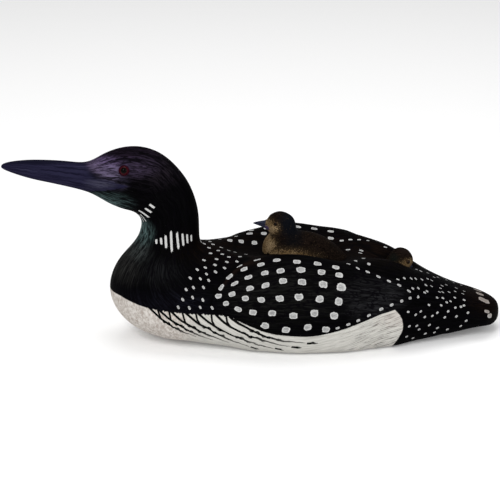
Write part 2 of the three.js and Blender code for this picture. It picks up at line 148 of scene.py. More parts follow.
# White bars on the neck and strokes under the chin, from one [x, z] to another as seen from
# the side, with the half width. Those in front of the chin are given as [x, y, z].
NECK_BARS = [[-111.2, 125, -111, 119.3, 1.1], [-106, 126.7, -105.6, 118.8, 1.15],
             [-100.9, 129.9, -100.4, 115, 1.2], [-94.9, 133.8, -94.3, 111, 1.2],
             [-88.3, 132.2, -86.8, 113.6, 1.2], [-82.2, 130.5, -81.2, 116, 1.15],
             [-77, 128.5, -76.5, 117.5, 1.1], [-72.3, 127, -72, 118.8, 1.05]]
CHIN_STROKES = [[-118.3, 165.5, -112, 160.7, 1.2], [-123.3, 160.3, -115.3, 155, 1.2],
                [-130, 156, -118.4, 149, 1.15]]
CHIN_THREADS = [[-130, -10, 149, -124, -13, 141, 0.6], [-128, -14, 150, -122, -17, 143, 0.6]]

# Black feather lines on the white flank, drawn from the side through [x, z], and the short ones
# that close them at the top
LINE_HALF, TICK_HALF = 1.45, 1.15
FLANK_LINES = [
    [[-119, 53], [-108, 42], [-100, 36], [-92, 31], [-83, 26], [-70, 20]],
    [[-109, 52], [-97, 41], [-87, 35], [-77, 28], [-66, 22], [-52, 16]],
    [[-96, 51.5], [-87, 42.5], [-81, 38.5], [-71, 32.5], [-60, 26], [-49, 21], [-34, 14]],
    [[-81, 51.5], [-67, 39], [-57, 34], [-48, 28.5], [-37, 21.5], [-26, 16], [-12, 11]],
    [[-67, 51.5], [-58, 43.5], [-49, 37], [-39, 31], [-28, 25], [-17, 21], [-4, 15.5], [14, 10]],
    [[-48, 51.5], [-40, 43.5], [-33, 38], [-22, 32], [-11, 27], [1, 23], [15, 17.5], [32, 14]],
    [[-33, 51], [-24, 43], [-15, 38], [-8, 34], [2, 29], [14, 25], [26, 21.5], [49, 19]],
    [[37, 13], [46, 12.2]], [[53, 18], [64, 18]], [[18, 10], [27, 7.5]], [[-7, 9.5], [0, 7]],
]
FLANK_TICKS = [
    [[-111.5, 53], [-109.3, 46], [-108, 42]], [[-99, 52], [-98, 46], [-97, 41]],
    [[-84.5, 52], [-83, 45], [-81, 38.7]], [[-70, 52], [-68.3, 44], [-65.3, 38.5]],
    [[-53, 52], [-52.3, 43.5], [-49, 37]], [[-37, 52], [-36, 44], [-32, 37.3]],
    [[-32, 48.5], [-24, 42.3], [-15, 37.8], [-7, 34.3]],
]


def take(piece):
    """Selects one piece and makes it the active one."""
    bpy.ops.object.select_all(action="DESELECT")
    piece.select_set(True)
    bpy.context.view_layer.objects.active = piece


def start_editing(piece, kind):
    """Opens a piece for editing, with nothing selected."""
    take(piece)
    bpy.ops.object.mode_set(mode="EDIT")
    bpy.ops.mesh.select_mode(type=kind)
    bpy.ops.mesh.select_all(action="DESELECT")


def copy_solid(node, name):
    """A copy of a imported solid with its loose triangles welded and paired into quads."""
    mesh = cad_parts[node].data.copy()
    mesh.materials.clear()
    piece = bpy.data.objects.new(name, mesh)
    bpy.context.collection.objects.link(piece)
    take(piece)
    bpy.ops.object.mode_set(mode="EDIT")
    bpy.ops.mesh.select_all(action="SELECT")
    bpy.ops.mesh.remove_doubles(threshold=WELD)
    bpy.ops.mesh.tris_convert_to_quads(
        face_threshold=math.pi, shape_threshold=math.pi, topology_influence=2
    )
    bpy.ops.object.mode_set(mode="OBJECT")
    return piece


def add_modifier(piece, kind, **settings):
    """Adds a modifier to a piece and applies it."""
    take(piece)
    modifier = piece.modifiers.new(kind.title(), kind)
    for key, value in settings.items():
        setattr(modifier, key, value)
    bpy.ops.object.modifier_apply(modifier=modifier.name)


def rows_of(items, name):
    """A vector of each of a mesh's points or faces, one to a row."""
    rows = np.empty(len(items) * 3)
    items.foreach_get(name, rows)
    return rows.reshape(-1, 3)


def points_of(piece):
    return rows_of(piece.data.vertices, "co")


def middles_of(piece):
    return rows_of(piece.data.polygons, "center")


def move_points(piece, places):
    piece.data.vertices.foreach_set("co", places.ravel())
    piece.data.update()


def rise(value, start, end):
    """Goes smoothly from 0 to 1 as value goes from start to end."""
    part = np.clip((value - start) / (end - start), 0, 1)
    return part * part * (3 - 2 * part)


def eye_seat(node):
    """Middle, outward direction and radius of a set-in eye, from its solid: a ball that is
    ground flat behind, where its largest faces lie."""
    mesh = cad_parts[node].data
    back = max(mesh.polygons, key=lambda face: face.area)
    outward = -back.normal
    places = [vertex.co for vertex in mesh.vertices]
    middle = sum(places, Vector()) / len(places)
    radius = max(((place - middle) - (place - middle).dot(outward) * outward).length
                 for place in places)
    front = max((place - middle).dot(outward) for place in places)
    return middle + outward * (front - radius), outward, radius


def close_socket(piece, middle, reach):
    """Takes out the faces round an eye socket and closes the hole with one face."""
    start_editing(piece, "VERT")
    work = bmesh.from_edit_mesh(piece.data)
    for vertex in work.verts:
        vertex.select_set((vertex.co - middle).length < reach)
    bmesh.update_edit_mesh(piece.data)
    bpy.ops.mesh.delete(type="VERT")
    bpy.ops.mesh.select_non_manifold()
    bpy.ops.mesh.edge_face_add()
    bpy.ops.object.mode_set(mode="OBJECT")


def split_near(piece, wanted, cuts):
    """Cuts the faces whose middles are wanted into smaller ones."""
    chosen = wanted(middles_of(piece))
    start_editing(piece, "FACE")
    bpy.ops.object.mode_set(mode="OBJECT")
    piece.data.polygons.foreach_set("select", chosen)
    bpy.ops.object.mode_set(mode="EDIT")
    bpy.ops.mesh.subdivide(number_cuts=cuts)
    bpy.ops.object.mode_set(mode="OBJECT")


def round_over_socket(piece, seat, half_length, half_height):
    """Gives the closed place of a socket the curve of the skin round it."""
    middle, outward, _ = seat
    outward = np.array(outward)
    along = np.cross([0, 0, 1], outward)
    along /= np.linalg.norm(along)
    upward = np.cross(outward, along)
    places = points_of(piece)
    gap = places - np.array(middle)
    u, v, w = gap @ along, gap @ upward, gap @ outward
    ring = np.hypot(u / half_length, v / half_height)
    near = (ring < 1.7) & (w > -0.02)  # not the other side of the head
    sides = [u ** i * v ** j * 1000.0 ** (i + j) for i in range(5) for j in range(5 - i)]
    terms = np.stack(sides, axis=-1)
    outer = near & (ring > 1.05)
    weights = np.linalg.lstsq(terms[outer], w[outer], rcond=None)[0]
    pull = 1 - rise(ring, 0.95, 1.45)
    shift = np.where(near, pull * (terms @ weights - w), 0)
    move_points(piece, places + shift[:, None] * outward)


def smooth_outline(corners, steps=12):
    """A closed curve through corners, as short straight steps."""
    corners = np.array(corners, dtype=float)
    curve = []
    count = len(corners)
    for i in range(count):
        a, b, c, d = (corners[(i + k) % count] for k in (-1, 0, 1, 2))
        for step in range(steps):
            t = step / steps
            curve.append(b + 0.5 * t * (c - a + t * (2 * a - 5 * b + 4 * c - d
                                                    + t * (3 * b - a - 3 * c + d))))
    return np.array(curve)


def depth_inside(outline, x, z):
    """How far each place lies inside a closed outline, negative outside."""
    best = np.full(x.shape, np.inf)
    inside = np.zeros(x.shape, dtype=bool)
    for (ax, az), (bx, bz) in zip(outline, np.roll(outline, -1, axis=0)):
        sx, sz = bx - ax, bz - az
        part = np.clip(((x - ax) * sx + (z - az) * sz) / (sx * sx + sz * sz), 0, 1)
        best = np.minimum(best, np.hypot(x - ax - part * sx, z - az - part * sz))
        if az != bz:
            crosses = ((az > z) != (bz > z)) & (x < ax + (z - az) / sz * sx)
            inside ^= crosses
    return np.where(inside, best, -best)


def body_axis(x):
    """Height of the line in the body that the turns are taken about, which sinks behind."""
    return 0.06 - 0.1 * max(x - 0.05, 0)


class Marks:
    """Painted marks on a skin. Each has a middle, a long and a cross direction and their half
    sizes, and every face is given its place against the mark that lies nearest."""

    def __init__(self, piece):
        self.skin = BVHTree.FromObject(piece, bpy.context.evaluated_depsgraph_get())
        self.found = []

    def on_body(self, x, turn):
        """The place and normal on the body at x millimetres and a turn from the back."""
        angle = math.radians(turn)
        start = Vector((x * MM, 0, body_axis(x * MM)))
        return self.skin.ray_cast(start, Vector((0, -math.sin(angle), math.cos(angle))))[:2]

    def from_side(self, x, z, side):
        """The place and normal where a line from one side meets the skin."""
        start = Vector((x * MM, side * BESIDE, z * MM))
        return self.skin.ray_cast(start, Vector((0, -side, 0)))[:2]

    def add(self, place, normal, along, half_length, half_width):
        along = (along - along.dot(normal) * normal).normalized()
        across = normal.cross(along)
        self.found.append((place, along, across, half_length * MM, half_width * MM))

    def spot(self, x, turn, along, half_length, half_width):
        """Adds a mark at x and a turn from the back."""
        self.add(*self.on_body(x, turn), Vector(along), half_length, half_width)


def corners_of(piece, chosen):
    """For each face corner, what was chosen for its face, and the corner's place."""
    mesh = piece.data
    sizes = np.empty(len(mesh.polygons), dtype=int)
    mesh.polygons.foreach_get("loop_total", sizes)
    corners = np.empty(len(mesh.loops), dtype=int)
    mesh.loops.foreach_get("vertex_index", corners)
    return np.repeat(chosen, sizes), points_of(piece)[corners]


def write_layer(piece, name, owner, flat):
    """Keeps two numbers for each face corner, far off where the corner has no owner."""
    flat[owner < 0] = FAR_OFF
    layer = piece.data.uv_layers.new(name=name, do_init=False)
    layer.data.foreach_set("uv", flat.astype(np.float32).ravel())


def nearest_marks(piece, marks, layer_name):
    """Writes each face corner's place against the nearest mark into a layer of the piece."""
    tree = kdtree.KDTree(len(marks))
    for i, mark in enumerate(marks):
        tree.insert(mark[0], i)
    tree.balance()
    middles, alongs, across = (np.array([mark[k] for mark in marks]) for k in range(3))
    halves = np.array([mark[3:] for mark in marks])
    faces = middles_of(piece)
    chosen = np.full(len(faces), -1)
    for face, centre in enumerate(faces):
        best = MOST_HALVES
        for _, i, distance in tree.find_n(centre, 5):
            if distance > MARK_REACH:
                break
            gap = centre - middles[i]
            reach = math.hypot(gap @ alongs[i] / halves[i, 0], gap @ across[i] / halves[i, 1])
            if reach < best:
                best = reach
                chosen[face] = i
    owner, places = corners_of(piece, chosen)
    gaps = places - middles[owner]
    flat = np.stack([(gaps * alongs[owner]).sum(1) / halves[owner, 0],
                     (gaps * across[owner]).sum(1) / halves[owner, 1]], axis=-1)
    write_layer(piece, layer_name, owner, flat)


def nearest_strokes(piece, strokes, layer_name):
    """Writes each face corner's place against the nearest stroke into a layer: across it in
    half widths, and along it from 0 to 1. A stroke is a list of (place, normal) and a half
    width."""
    steps = []
    for stops, half_width in strokes:
        total = sum((b[0] - a[0]).length for a, b in zip(stops, stops[1:]))
        done = 0
        for (a, normal), (b, _) in zip(stops, stops[1:]):
            span = b - a
            steps.append((a, span, normal.cross(span).normalized(), half_width * MM,
                          done / total, span.length / total))
            done += span.length
    starts, spans, sideways, halves, begins, shares = (np.array(part) for part in zip(*steps))
    squares = (spans * spans).sum(1)
    middles = middles_of(piece)
    best = np.full(len(middles), np.inf)
    chosen = np.full(len(middles), -1)
    for i in range(len(starts)):
        gap = middles - starts[i]
        part = np.clip(gap @ spans[i] / squares[i], 0, 1)
        distance = np.linalg.norm(gap - part[:, None] * spans[i], axis=1)
        nearer = (distance < best) & (distance < STROKE_REACH)
        best[nearer] = distance[nearer]
        chosen[nearer] = i
    owner, places = corners_of(piece, chosen)
    gaps = places - starts[owner]
    part = (gaps * spans[owner]).sum(1) / squares[owner]
    flat = np.stack([(gaps * sideways[owner]).sum(1) / halves[owner],
                     begins[owner] + part * shares[owner]], axis=-1)
    write_layer(piece, layer_name, owner, flat)


def write_values(piece, name, values):
    """Keeps one number, or a vector, for each point of a piece."""
    kind, part = ("FLOAT", "value") if values.ndim == 1 else ("FLOAT_VECTOR", "vector")
    layer = piece.data.attributes.new(name, kind, "POINT")
    layer.data.foreach_set(part, values.astype(np.float32).ravel())


def write_comb(piece, ribs):
    """Keeps for each point how far along the bird it lies and its turn round the rib there,
    as a vector, so that the grain can run along the body."""
    ribs = np.array(ribs, dtype=float) * MM
    steps = np.linspace(0, len(ribs) - 1, COMB_STEPS)
    fine = np.stack([np.interp(steps, range(len(ribs)), column) for column in ribs.T], axis=-1)
    back, belly = fine[:, 0:2], fine[:, 2:4]
    centre = (back + belly) / 2
    length = np.linalg.norm(back - belly, axis=1)
    upward = (back - belly) / length[:, None]
    stride = np.linalg.norm(np.diff(centre, axis=0), axis=1)
    travelled = np.concatenate([[0], np.cumsum(stride)])
    places = points_of(piece)
    flat = places[:, [0, 2]]
    best = np.full(len(flat), np.inf)
    chosen = np.zeros(len(flat), dtype=int)
    height = np.zeros(len(flat))
    for i in range(len(fine)):
        gap = flat - centre[i]
        up = gap @ upward[i]
        off = np.abs(gap[:, 0] * upward[i, 1] - gap[:, 1] * upward[i, 0])
        off = off + np.maximum(np.abs(up) - 0.55 * length[i], 0) * 4
        nearer = off < best
        best[nearer] = off[nearer]
        chosen[nearer] = i
        height[nearer] = up[nearer]
    turn = np.arctan2(places[:, 1], height)
    comb = np.stack([travelled[chosen], GIRTH * np.sin(turn), GIRTH * np.cos(turn)], axis=-1)
    write_values(piece, "comb", comb)


def write_flow(piece):
    """Keeps for each point of the flank a place across and along its brush strokes, which
    slant down behind the breast and follow the white's upper edge farther back."""
    places = points_of(piece)
    x, z = places[:, 0], places[:, 2]
    drop = FLANK_TOP - z
    slanted = x - 0.9 * drop - 20 * drop * np.abs(drop)
    border = np.array([corner for corner in WHITE if 16 <= corner[0] <= 150 and corner[1] > 20])
    followed = z - np.interp(x, border[:, 0] * MM, border[:, 1] * MM)
    followed -= np.maximum(x - 0.15, 0) * 0.25
    write_values(piece, "flow", np.stack([slanted, followed, x + 0.25 * z], axis=-1))


# The loon

def shape_loon(eyes):
    """The loon's skin: the solid with its sockets closed, made round, its wing edges cut
    crisp and its eyelids raised."""
    loon = copy_solid("loon", "painted_loon")
    for seat in eyes:
        close_socket(loon, seat[0], LOON_SOCKET)
    add_modifier(loon, "SUBSURF", levels=LOON_LEVELS, render_levels=LOON_LEVELS)
    for seat in eyes:
        round_over_socket(loon, seat, *EYE_PATCH)
    wing = smooth_outline(WING) * MM

    def on_fine_work(middles):
        edge = np.abs(depth_inside(wing, middles[:, 0], middles[:, 2])) < FINE_EDGE
        edge &= np.abs(middles[:, 1]) > FINE_BEYOND
        for middle, _, _ in eyes:
            edge |= np.linalg.norm(middles - np.array(middle), axis=1) < FINE_EYE
        return edge

    split_near(loon, on_fine_work, 2)
    places = points_of(loon)
    normals = rows_of(loon.data.vertices, "normal")
    depth = depth_inside(wing, places[:, 0], places[:, 2])
    cover = rise(np.abs(places[:, 1]), CRISP_INNER, CRISP_OUTER)
    crisp = rise(depth, -CRISP_EDGE, CRISP_EDGE) - rise(depth, -WING_SOFT * MM, WING_SOFT * MM)
    lift = WING_LIFT * WING_STEP * MM * cover * crisp
    for middle, outward, _ in eyes:
        away = places - np.array(middle)
        along = away @ np.array(outward)
        aside = np.linalg.norm(away - along[:, None] * np.array(outward), axis=1)
        lid = LID_HEIGHT * np.exp(-((aside - LID_RADIUS) / LID_WIDTH) ** 2)
        lift += np.where(along > 0, lid, 0)
    move_points(loon, places + normals * lift[:, None])
    places = points_of(loon)
    x, z = places[:, 0], places[:, 2]
    write_values(loon, "wing_depth", depth_inside(wing, x, z))
    write_values(loon, "white_depth", depth_inside(np.array(WHITE) * MM, x, z))
    write_values(loon, "bill_depth", depth_inside(np.array(BILL) * MM, x, z))
    write_comb(loon, RIBS)
    write_flow(loon)
    return loon


def spot_row(marks, spots, sizes):
    """Spots that point along their row, at places given as [x, turn]."""
    sizes = np.array(sizes)
    at = np.linspace(0, len(sizes) - 1, len(spots))
    seats = [marks.on_body(x, turn) for x, turn in spots]
    for i, (place, normal) in enumerate(seats):
        before, after = seats[max(i - 1, 0)][0], seats[min(i + 1, len(seats) - 1)][0]
        half = [np.interp(at[i], range(len(sizes)), column) for column in sizes.T]
        marks.add(place, normal, after - before, *half)


def rump_spot(x, turn):
    """The direction, half length and half width of a spot on the rump."""
    if turn > 76:
        return (1, 0, 0.5 if turn > 92 else -0.4), 1.6, 1.15
    if x < 195:
        return (1, 0, -0.3), 1.8, 1.2
    return (1, 0, -0.6), 1.65, 0.7


def paint_spots(marks):
    """All the white spots of the wings, shoulders, back, rump and tail, on both sides."""
    for spots, sizes in CREST_ROWS:
        spot_row(marks, spots, sizes)
    for side in (1, -1):
        for spots, sizes in WING_ROWS:
            spot_row(marks, [[x, side * turn] for x, turn in spots], sizes)
        for x, turn in SHOULDER_SPOTS:
            marks.spot(x, side * turn, (0.6, 0, -1), 2.0, 1.22)
        for x, turn in BACK_SPOTS:
            if side > 0 or (turn > 21 and x < -12):
                marks.spot(x, side * turn, (1, -0.2, -0.3), 1.9, 2.8 if x > 100 else 1.5)
        for x, turn in RUMP_SPOTS:
            if side > 0 or turn > 20:
                marks.spot(x, side * turn, *rump_spot(x, turn))
    for x, turn, half_length, half_width in RIGHT_SPOTS:
        marks.spot(x, turn, (1, 0, -0.1), half_length, half_width)
    for x, y, z, half_length, half_width in TAIL_SPOTS:
        place, normal = marks.skin.find_nearest(Vector((x, y, z)) * MM)[:2]
        marks.add(place, normal, Vector((1, -0.15, 0)), half_length, half_width)


def paint_bars(marks):
    """The bars round the neck and under the chin, on both sides."""
    for side in (-1, 1):
        for ax, az, bx, bz, half in NECK_BARS + CHIN_STROKES:
            top = marks.from_side(ax, az, side)[0]
            low = marks.from_side(bx, bz, side)[0]
            middle, normal = marks.from_side((ax + bx) / 2, (az + bz) / 2, side)
            marks.add(middle, normal, low - top, (low - top).length / MM / 2 - 0.5, half + 0.1)
        for ax, ay, az, bx, by, bz, half in CHIN_THREADS:
            ends = [Vector((ax, -side * ay, az)) * MM, Vector((bx, -side * by, bz)) * MM]
            middle, normal = marks.skin.find_nearest((ends[0] + ends[1]) / 2)[:2]
            span = ends[1] - ends[0]
            marks.add(middle, normal, span, span.length / MM / 2, half)


def side_strokes(marks, lines, half_width, side):
    """Strokes drawn from the side through [x, z] places, in short steps on the skin."""
    strokes = []
    for line in lines:
        at = np.linspace(0, len(line) - 1, 3 * len(line))
        stops = [np.interp(at, range(len(line)), column) for column in zip(*line)]
        seats = [marks.from_side(x, z, side) for x, z in zip(*stops)]
        seats = [seat for seat in seats if seat[0] is not None]
        if len(seats) > 1:
            strokes.append((seats, half_width))
    return strokes


def paint_loon(loon):
    """Writes the loon's spots, bars and feather lines into layers of its skin."""
    marks = Marks(loon)
    paint_spots(marks)
    nearest_marks(loon, marks.found, "spots")
    marks.found = []
    paint_bars(marks)
    nearest_marks(loon, marks.found, "bars")
    lines, ticks = [], []
    for side in (-1, 1):
        lines += side_strokes(marks, FLANK_LINES, LINE_HALF, side)
        ticks += side_strokes(marks, FLANK_TICKS, TICK_HALF, side)
    nearest_strokes(loon, lines, "feather_lines")
    nearest_strokes(loon, ticks, "feather_ticks")


# Paints

class Paint:
    """A material with short words for its nodes."""

    def __init__(self, name):
        self.material = bpy.data.materials.new(name)
        self.material.use_nodes = True
        self.nodes = self.material.node_tree.nodes
        self.links = self.material.node_tree.links
        self.shader = self.nodes["Principled BSDF"]
        self.place = self.new("TexCoord").outputs["Object"]

    def put(self, socket, value):
        if isinstance(value, bpy.types.NodeSocket):
            self.links.new(value, socket)
        elif isinstance(value, (tuple, list)) and len(value) == 3 and socket.type == "RGBA":
            socket.default_value = (*value, 1)
        else:
            socket.default_value = value

    def fill(self, node, **inputs):
        """Fills inputs of a node, each named with _ for a space."""
        for name, value in inputs.items():
            self.put(node.inputs[name.replace("_", " ")], value)
        return node

    def new(self, kind, **inputs):
        return self.fill(self.nodes.new("ShaderNode" + kind), **inputs)

    def math(self, operation, first, second=0.0):
        node = self.new("Math")
        node.operation = operation
        self.put(node.inputs[0], first)
        self.put(node.inputs[1], second)
        return node.outputs[0]

    def times(self, first, second):
        return self.math("MULTIPLY", first, second)

    def plus(self, first, second):
        return self.math("ADD", first, second)

    def size(self, value):
        """A value without its sign."""
        return self.math("ABSOLUTE", value)

    def rise(self, value, start, end):
        """Goes smoothly from 0 to 1 as value goes from start to end."""
        node = self.new("MapRange", Value=value, From_Min=start, From_Max=end)
        node.interpolation_type = "SMOOTHSTEP"
        return node.outputs["Result"]

    def between(self, value, low, high):
        """Goes from low to high as value goes from 0 to 1."""
        return self.new("MapRange", Value=value, To_Min=low, To_Max=high).outputs["Result"]

    def mix(self, part, under, over):
        node = self.new("Mix")
        node.data_type = "RGBA"
        self.put(node.inputs["Factor"], part)
        self.put(node.inputs["A"], under)
        self.put(node.inputs["B"], over)
        return node.outputs["Result"]

    def layer(self, name):
        node = self.new("UVMap")
        node.uv_map = name
        return self.parts(node.outputs["UV"])[:2]

    def parts(self, vector):
        split = self.new("SeparateXYZ")
        self.links.new(vector, split.inputs[0])
        return list(split.outputs)

    def kept(self, name, output="Fac"):
        node = self.new("Attribute")
        node.attribute_name = name
        return node.outputs[output]

    def vector_math(self, operation, first, second=(0, 0, 0)):
        node = self.new("VectorMath")
        node.operation = operation
        self.put(node.inputs[0], first)
        self.put(node.inputs[1], second)
        return node.outputs["Value" if operation == "LENGTH" else "Vector"]

    def noise(self, scale, detail, roughness=0.5, distortion=0.0, vector=None):
        """Noise in the piece's own place, or in another vector."""
        return self.new("TexNoise", Vector=vector or self.place, Scale=scale, Detail=detail,
                        Roughness=roughness, Distortion=distortion).outputs["Fac"]

    def grain(self, vector, x, y, z, *settings):
        """Noise whose scale is given apart for each direction of a vector."""
        return self.noise(1.0, *settings, vector=self.vector_math("MULTIPLY", vector, (x, y, z)))

    def roundness(self, name, power):
        """Goes from 0 in the middle of the nearest mark of a layer to 1 at its rim."""
        parts = [self.math("POWER", self.size(part), power) for part in self.layer(name)]
        return self.math("POWER", self.plus(*parts), 1 / power)

    def soft_spot(self, x, y, z, radius_x, radius_y, radius_z, core):
        """1 in the core of a soft ellipsoid, which is a share of its radii, and 0 outside it.
        Its middle and radii are in millimetres."""
        away = self.vector_math("SUBTRACT", self.place, (x * MM, y * MM, z * MM))
        shares = [1 / (radius * MM) for radius in (radius_x, radius_y, radius_z)]
        length = self.vector_math("LENGTH", self.vector_math("MULTIPLY", away, shares))
        return self.rise(length, 1.0, core)

    def zones(self, colour, zones, light):
        """Tints a colour in soft ellipsoids, each given with its tint and its strength, more
        where light is high than where it is low."""
        for place, tint, most in zones:
            part = self.times(self.soft_spot(*place), most)
            colour = self.mix(self.times(part, light), colour, tint)
        return colour

    def lead(self, colour, roughness, gloss):
        """Leads a colour and a roughness to the shader and sets its gloss."""
        self.fill(self.shader, Base_Color=colour, Roughness=roughness, Specular_IOR_Level=gloss)

    def bump(self, height, distance, strength):
        node = self.new("Bump", Height=height, Distance=distance, Strength=strength)
        self.fill(self.shader, Normal=node.outputs["Normal"])


# Tinted zones of the loon's black, one of them a painted sheen on the top of the breast: middle,
# radii and core of each, its tint and its strength
PLUMAGE_ZONES = [
    ((-20, 0, 112, 110, 90, 26, 0.2), (0.0066, 0.0032, 0.0016), 0.85),
    ((110, 0, 96, 130, 70, 30, 0.2), (0.0066, 0.0033, 0.0017), 0.85),
    ((262, 0, 40, 45, 60, 28, 0.2), (0.012, 0.0055, 0.0035), 0.8),
    *[((125, y, 68, 66, 30, 32, 0.3), (0.019, 0.019, 0.021), 0.9) for y in (-75, 75)],
    ((-85, 0, 60, 95, 110, 26, 0.3), (0.0085, 0.0085, 0.0155), 0.85),
    # a painted sheen: blue-grey light on the top of the breast and the foot of the neck
    ((-108, 0, 88, 44, 80, 24, 0.2), (0.018, 0.0188, 0.0205), 0.95),
    ((-142, 0, 88, 30, 60, 26, 0.3), (0.03, 0.03, 0.0285), 0.95),
    *[((30, y, 75, 105, 34, 46, 0.3), (0.01, 0.0098, 0.0092), 0.85) for y in (-75, 75)],
    ((140, 0, 94, 34, 34, 16, 0.3), (0.011, 0.0062, 0.0045), 0.8),
]
SHEEN_ZONES = [
    ((-128, 0, 108, 26, 42, 22, 0.2), (0.068, 0.078, 0.077), 0.85),
    ((-126, 0, 130, 22, 42, 24, 0.3), (0.082, 0.13, 0.128), 0.95),
    ((-161, 0, 167, 42, 40, 18, 0.25), (0.07, 0.112, 0.112), 0.95),
    ((-138, 0, 216, 46, 34, 18, 0.2), (0.015, 0.009, 0.0185), 0.85),
    ((-112, 0, 198, 44, 44, 28, 0.2), (0.0165, 0.0125, 0.018), 0.85),
    ((-134, 0, 205, 40, 46, 17, 0.2), (0.056, 0.04, 0.076), 0.9),
    ((-156, 0, 189, 26, 44, 13, 0.3), (0.07, 0.061, 0.102), 0.95),
    ((-162, 0, 208, 32, 46, 13, 0.3), (0.088, 0.062, 0.13), 0.95),
    ((-160, 0, 201, 24, 44, 13, 0.3), (0.135, 0.11, 0.185), 0.95),
    ((-176, 0, 205, 18, 26, 9, 0.25), (0.118, 0.09, 0.158), 0.95),
]

# Tints of the loon, as linear red, green and blue. A pair is mixed by its grain.
BLACKS = (0.0006, 0.0006, 0.0007), (0.0036, 0.0036, 0.004)
HAIR_BLACK = (0.0015, 0.0012, 0.002)
# painted shade: the dark of the groove in front of a wing's raised edge
GROOVE_SHADE = (0.001, 0.001, 0.001)
LINE_BLACK = (0.003, 0.003, 0.003)
# brown painted highlight along the raised edge of a wing
RIM_HIGHLIGHT_BROWN = (0.0095, 0.0055, 0.004)
LID_RED = (0.014, 0.003, 0.0065)
SLATES = (0.0058, 0.0053, 0.015), (0.0165, 0.0153, 0.036)
SLATE_GLINT = (0.046, 0.046, 0.076)
SLATE_DUST = (0.058, 0.056, 0.084)
CULMEN = (0.004, 0.004, 0.01)
CHALKS = (0.51, 0.51, 0.5), (0.245, 0.245, 0.245)
TAIL_CHALKS = (0.31, 0.275, 0.255), (0.195, 0.17, 0.155)
BREAST_CREAMS = (0.36, 0.315, 0.28), (0.62, 0.59, 0.555)
FLANK_WHITES = (0.4, 0.39, 0.36), (0.55, 0.54, 0.505)
FLANK_SCRATCH = (0.13, 0.12, 0.11)
FLANK_ROSE = (0.55, 0.46, 0.42)
PAINT_GLOSS = 0.005
LID_REACH = 1.28  # how far the red round an eye goes, in the eye's radii


